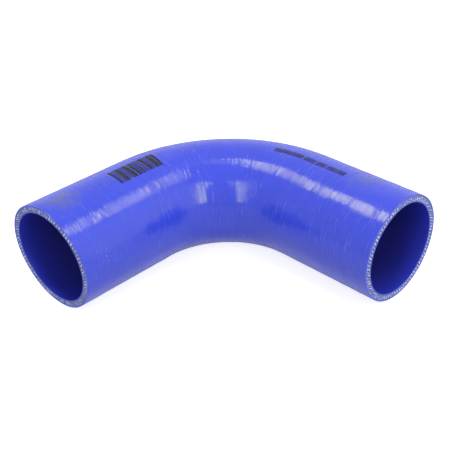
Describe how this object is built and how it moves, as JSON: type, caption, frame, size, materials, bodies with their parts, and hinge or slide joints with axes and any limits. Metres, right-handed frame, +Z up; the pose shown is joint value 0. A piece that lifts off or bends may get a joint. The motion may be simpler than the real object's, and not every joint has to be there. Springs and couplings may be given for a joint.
{
  "type": "silicone elbow hose",
  "caption": "Moulded right-angle silicone hose with equal straight legs and a fabric-reinforced wall, open at both cut ends, for joining pipes round a corner.",
  "frame": {"origin": "on the surface the hose lies on, under the middle of its bounding box", "axes": "+Z up, square to the bend's plane; +X out of the square-cut open end of leg B; leg A runs along -Y"},
  "size_m": [0.185, 0.187, 0.07],
  "materials": {
    "blue_silicone": "satin",
    "ply_fabric": "matte",
    "marking_ink": "matte"
  },
  "bodies": {
    "root": {"elbow_hose": "blue_silicone"}
  },
  "joints": []
}
